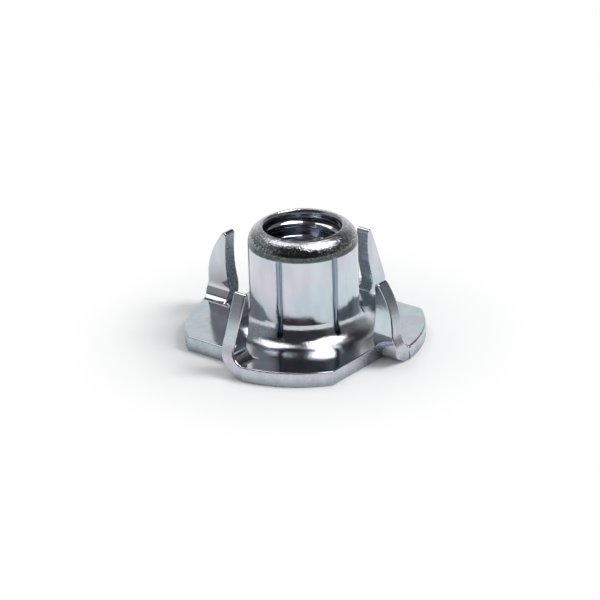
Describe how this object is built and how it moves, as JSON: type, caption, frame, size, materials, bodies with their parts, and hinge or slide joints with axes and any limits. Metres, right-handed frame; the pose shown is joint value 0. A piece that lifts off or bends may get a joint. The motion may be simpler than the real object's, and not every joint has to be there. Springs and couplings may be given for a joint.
{
  "type": "tee nut",
  "caption": "Pronged tee nut: a threaded barrel drawn up from a flat round sheet flange whose rim is partly cut and bent up into prongs that bite into wood.",
  "frame": {"origin": "on the barrel's axis, in the plane of the flange's underside", "axes": "+Z along the barrel, from the flange to the barrel's lip; +X and +Y through the prongs"},
  "size_m": [0.0227, 0.0218, 0.011],
  "materials": {
    "zinc_plate": "bright zinc plate"
  },
  "bodies": {
    "root": {"tee_nut": "zinc_plate"}
  },
  "joints": []
}
